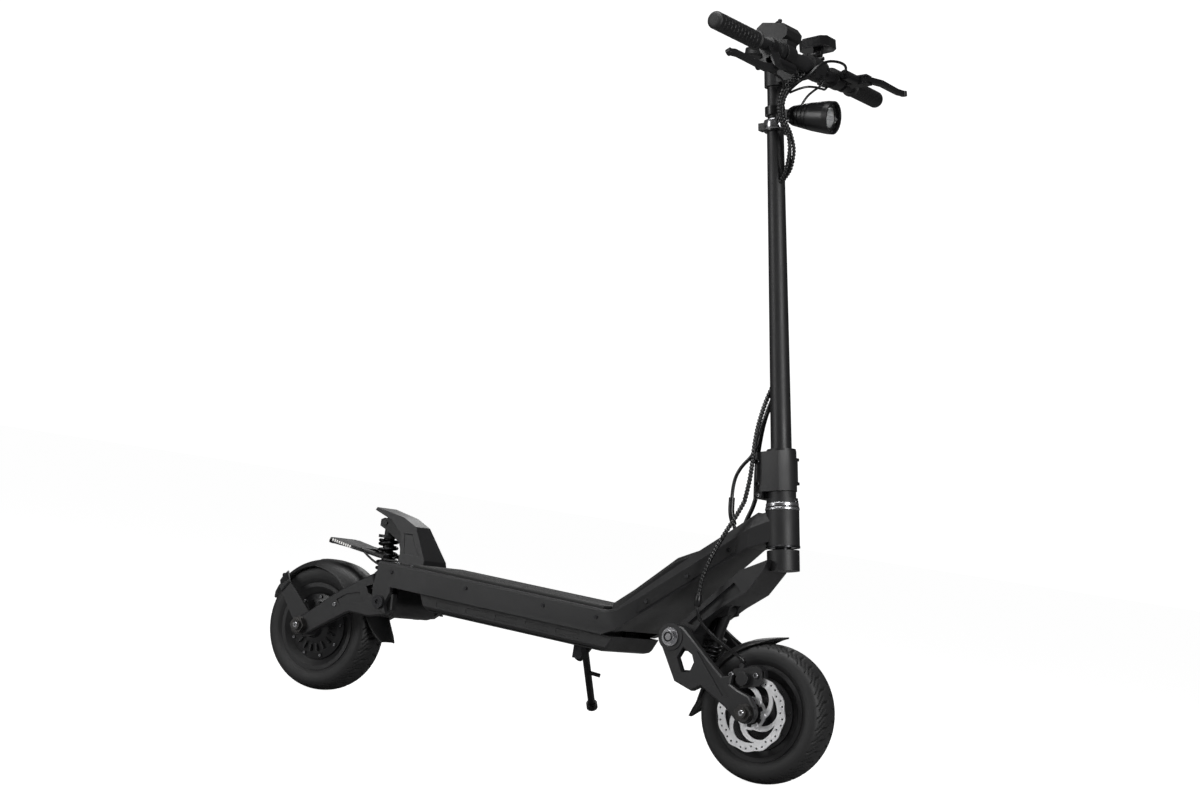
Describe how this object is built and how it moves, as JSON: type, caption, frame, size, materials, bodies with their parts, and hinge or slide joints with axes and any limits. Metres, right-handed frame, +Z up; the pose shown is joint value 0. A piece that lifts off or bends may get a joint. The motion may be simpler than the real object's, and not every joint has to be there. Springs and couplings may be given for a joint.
{
  "type": "electric kick scooter",
  "caption": "Folding electric kick scooter with hub-motor wheels, sprung swing arms front and rear, disc brakes, headlight and kickstand.",
  "frame": {"origin": "centre of the scooter's footprint on the ground", "axes": "+X forwards, +Y to the rider's left, +Z up"},
  "size_m": [1.2964, 0.6664, 1.3897],
  "materials": {
    "powder_coat": "matt black powder coat",
    "cast_black": "satin black",
    "steel_black": "black satin",
    "bright_steel": "bright",
    "disc_steel": "ground steel",
    "plastic_black": "fine grain",
    "grip_rubber": "matt",
    "tyre_rubber": "matt",
    "mat_rubber": "ribbed",
    "hose_black": "satin",
    "clear_lens": "clear",
    "lamp_lens": "frosted",
    "screen_plastic": "gloss",
    "battery_cells": "shrink wrap",
    "stator_iron": "laminated"
  },
  "bodies": {
    "frame": {"chassis": "powder_coat", "head_tube": "powder_coat", "headset_bearings": "bright_steel", "deck_mat": "mat_rubber", "battery_box": "powder_coat", "battery_pack": "battery_cells", "motor_controllers": "cast_black", "neck_cover": "plastic_black", "neck_side_panels": "plastic_black", "kick_plate": "powder_coat", "tail_light_bracket": "plastic_black", "tail_light": "lamp_lens", "frame_screws": "steel_black", "rear_pivot_bolt": "steel_black", "kickstand_bracket": "steel_black", "neck_hoses": "hose_black"},
    "kickstand": {"kickstand_leg": "cast_black"},
    "steering": {"steerer": "steel_black", "fork_arm": "powder_coat", "steering_pins": "bright_steel", "fold_base": "powder_coat"},
    "stem": {"stem_tube": "powder_coat", "bar_stem": "powder_coat", "handlebar": "powder_coat", "grips": "grip_rubber", "brake_perches": "cast_black", "control_housings": "plastic_black", "display": "screen_plastic", "headlight": "cast_black", "headlight_lens": "clear_lens", "stem_hoses": "hose_black"},
    "latch": {"latch_lever": "cast_black"},
    "left_lever": {"brake_lever_left": "cast_black"},
    "right_lever": {"brake_lever_right": "cast_black"},
    "throttle": {"throttle_paddle": "plastic_black"},
    "button": {"horn_button": "plastic_black"},
    "front_arm": {"front_swing_arm": "powder_coat", "front_motor_core": "stator_iron", "front_fender": "plastic_black", "front_caliper": "cast_black", "brake_hose_lower": "hose_black"},
    "front_wheel": {"front_tyre": "tyre_rubber", "front_hub": "cast_black", "front_hub_covers": "cast_black", "front_brake_disc": "disc_steel"},
    "front_damper": {"front_shock_body": "cast_black", "front_shock_spring": "steel_black"},
    "front_damper_rod": {"front_shock_rod": "bright_steel"},
    "rear_arm": {"rear_swing_arm": "powder_coat", "rear_motor_core": "stator_iron", "rear_fender": "plastic_black", "fender_strut": "powder_coat", "rear_caliper": "cast_black"},
    "rear_wheel": {"rear_tyre": "tyre_rubber", "rear_hub": "cast_black", "rear_hub_covers": "cast_black", "rear_brake_disc": "disc_steel"},
    "rear_damper": {"rear_shock_body": "cast_black", "rear_shock_spring": "steel_black"},
    "rear_damper_rod": {"rear_shock_rod": "bright_steel"}
  },
  "joints": [
    {"name": "steering_turn", "type": "hinge", "parent": "frame", "child": "steering", "pos_m": [0.48775, 0, 0.5], "axis": [-0.1894, 0, 0.9819], "range_deg": [-45, 45]},
    {"name": "stem_fold", "type": "hinge", "parent": "steering", "child": "stem", "pos_m": [0.44532, 0, 0.51931], "axis": [0, -1, 0], "range_deg": [0, 85]},
    {"name": "latch_swing", "type": "hinge", "parent": "stem", "child": "latch", "pos_m": [0.48608, 0.0314, 0.57199], "axis": [0.1894, 0, -0.9819], "range_deg": [0, 60]},
    {"name": "kickstand_fold", "type": "hinge", "parent": "frame", "child": "kickstand", "pos_m": [0.06975, 0.07, 0.177], "axis": [0, 0.7506, 0.6608], "range_deg": [0, 82]},
    {"name": "front_arm_pivot", "type": "hinge", "parent": "steering", "child": "front_arm", "pos_m": [0.34575, 0, 0.238], "axis": [0, -1, 0], "range_deg": [0, 9], "stiffness_Nm_per_rad": 700, "springref_deg": -5.73},
    {"name": "rear_arm_pivot", "type": "hinge", "parent": "frame", "child": "rear_arm", "pos_m": [-0.31225, 0, 0.203], "axis": [0, 1, 0], "range_deg": [0, 9], "stiffness_Nm_per_rad": 900, "springref_deg": -5.73},
    {"name": "front_damper_pivot", "type": "hinge", "parent": "steering", "child": "front_damper", "pos_m": [0.40775, 0, 0.3], "axis": [0, -1, 0], "range_deg": [-0.2, 4.07]},
    {"name": "front_damper_slide", "type": "slide", "parent": "front_damper", "child": "front_damper_rod", "axis": [0.2586, 0, 0.966], "range_m": [0, 0.0076], "deforming": ["front_shock_spring"]},
    {"name": "rear_damper_pivot", "type": "hinge", "parent": "frame", "child": "rear_damper", "pos_m": [-0.38425, 0, 0.356], "axis": [0, -1, 0], "range_deg": [-0.2, 1.91]},
    {"name": "rear_damper_slide", "type": "slide", "parent": "rear_damper", "child": "rear_damper_rod", "axis": [-0.0294, 0, 0.9996], "range_m": [0, 0.0108], "deforming": ["rear_shock_spring"]},
    {"name": "front_wheel_spin", "type": "hinge", "parent": "front_arm", "child": "front_wheel", "pos_m": [0.52075, 0, 0.1275], "axis": [0, 1, 0], "continuous": true},
    {"name": "rear_wheel_spin", "type": "hinge", "parent": "rear_arm", "child": "rear_wheel", "pos_m": [-0.50525, 0, 0.1275], "axis": [0, 1, 0], "continuous": true},
    {"name": "left_lever_squeeze", "type": "hinge", "parent": "stem", "child": "left_lever", "pos_m": [0.44, 0.15686, 1.33535], "axis": [-0.2071, -0.0502, 0.977], "range_deg": [0, 12], "stiffness_Nm_per_rad": 1.2, "springref_deg": -8.59},
    {"name": "right_lever_squeeze", "type": "hinge", "parent": "stem", "child": "right_lever", "pos_m": [0.42035, -0.15671, 1.28886], "axis": [-0.8449, 0.0551, -0.532], "range_deg": [0, 12], "stiffness_Nm_per_rad": 1.2, "springref_deg": -8.59},
    {"name": "throttle_press", "type": "hinge", "parent": "stem", "child": "throttle", "pos_m": [0.40046, -0.11464, 1.3248], "axis": [-0.0857, -0.9958, 0.033], "range_deg": [0, 25], "stiffness_Nm_per_rad": 0.3, "springref_deg": -11.46},
    {"name": "button_press", "type": "slide", "parent": "stem", "child": "button", "axis": [0.9963, 0.0857, 0.0028], "range_m": [0, 0.0015], "stiffness_N_per_m": 400, "springref_m": -0.0005}
  ],
  "couplings": [
    {"joint": "front_damper_pivot", "follows": "front_arm_pivot", "ratio": 0.4192},
    {"joint": "front_damper_slide", "follows": "front_arm_pivot", "m_per_rad": 0.045727},
    {"joint": "rear_damper_pivot", "follows": "rear_arm_pivot", "ratio": 0.17899},
    {"joint": "rear_damper_slide", "follows": "rear_arm_pivot", "m_per_rad": 0.065929}
  ]
}
